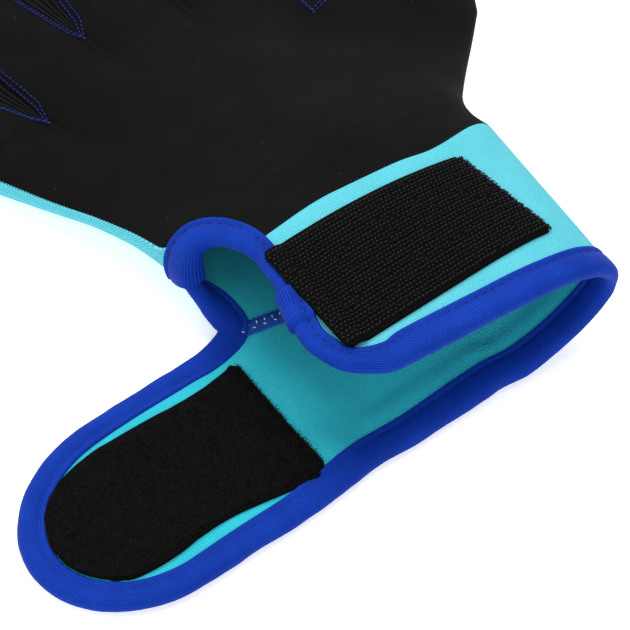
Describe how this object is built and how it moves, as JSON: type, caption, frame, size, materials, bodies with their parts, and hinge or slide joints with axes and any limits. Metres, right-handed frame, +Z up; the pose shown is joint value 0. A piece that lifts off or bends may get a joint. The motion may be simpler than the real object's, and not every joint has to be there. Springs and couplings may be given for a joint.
{
  "type": "webbed swim glove",
  "caption": "Right-hand webbed neoprene swim glove lying palm up, with an open wrist strap that closes with hook and loop tape.",
  "frame": {"origin": "on the surface that the glove lies on, under the middle of the cuff's lower layer", "axes": "+X towards the thumb, +Y from the wrist to the fingertips, +Z up, out of the palm"},
  "size_m": [0.2251, 0.254, 0.0363],
  "materials": {
    "palm_neoprene": "matte fine ribbed jersey on neoprene",
    "back_neoprene": "matte fine ribbed jersey on neoprene",
    "binding_tape": "soft knit tape",
    "hook_tape": "woven tape with stiff hooks",
    "loop_tape": "brushed loop pile",
    "seam_thread": "overlocked thread"
  },
  "bodies": {
    "root": {"palm_panel": "palm_neoprene", "back_panel": "back_neoprene", "cuff_band": "back_neoprene", "edge_binding": "binding_tape", "hook_patch": "hook_tape", "loop_patch": "loop_tape", "cuff_seam": "seam_thread"}
  },
  "joints": []
}
